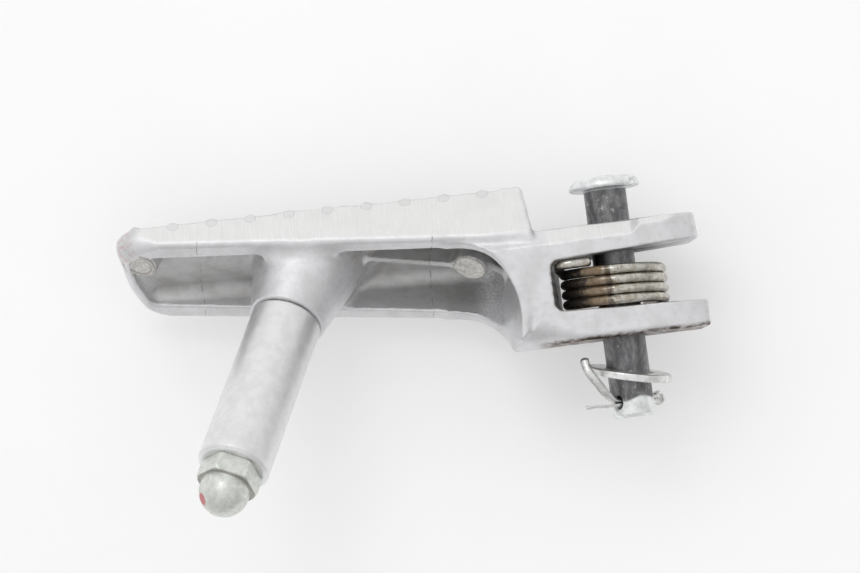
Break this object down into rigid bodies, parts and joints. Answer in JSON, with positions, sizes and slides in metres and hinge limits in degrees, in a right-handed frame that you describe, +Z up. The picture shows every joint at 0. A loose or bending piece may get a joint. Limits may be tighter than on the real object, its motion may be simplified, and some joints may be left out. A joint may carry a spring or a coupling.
{
  "type": "folding foot peg",
  "caption": "Folding cast-aluminium motorcycle foot peg: ribbed channel body, clevis on an inclined sprung pivot pin, and a long lean-angle feeler with a domed nut.",
  "frame": {"origin": "on the pivot pin's axis, midway between the outer faces of the two clevis ears", "axes": "+X outwards along the peg to its tip, +Z up through the tread, +Y to the side that the pin's head is on, which is the front of the motorcycle for this right-hand peg"},
  "size_m": [0.1101, 0.0341, 0.0649],
  "materials": {
    "cast_aluminium": "satin cast, ground flanks",
    "pin_steel": "greasy worn steel with a zinc-plated head and tail",
    "zinc_plate": "satin zinc plate",
    "spring_steel": "bright wire with rust and grease stains",
    "sleeve_aluminium": "satin",
    "stud_steel": "zinc plate",
    "nut_zinc": "satin zinc plate"
  },
  "bodies": {
    "pivot": {"pivot_pin": "pin_steel", "split_pin": "zinc_plate"},
    "peg": {"peg_casting": "cast_aluminium", "feeler_sleeve": "sleeve_aluminium", "feeler_stud": "stud_steel", "domed_nut": "nut_zinc", "return_spring": "spring_steel"},
    "washer": {"pin_washer": "zinc_plate"}
  },
  "joints": [
    {"name": "peg_fold", "type": "hinge", "parent": "pivot", "child": "peg", "pos_m": [0, 0, 0], "axis": [-0.0436, -0.573, -0.8184], "range_deg": [0, 85], "stiffness_Nm_per_rad": 0.58, "springref_deg": -40.11, "deforming": ["return_spring"]},
    {"name": "washer_slide", "type": "slide", "parent": "pivot", "child": "washer", "axis": [0.0436, 0.573, 0.8184], "range_m": [0, 0.0035]}
  ]
}
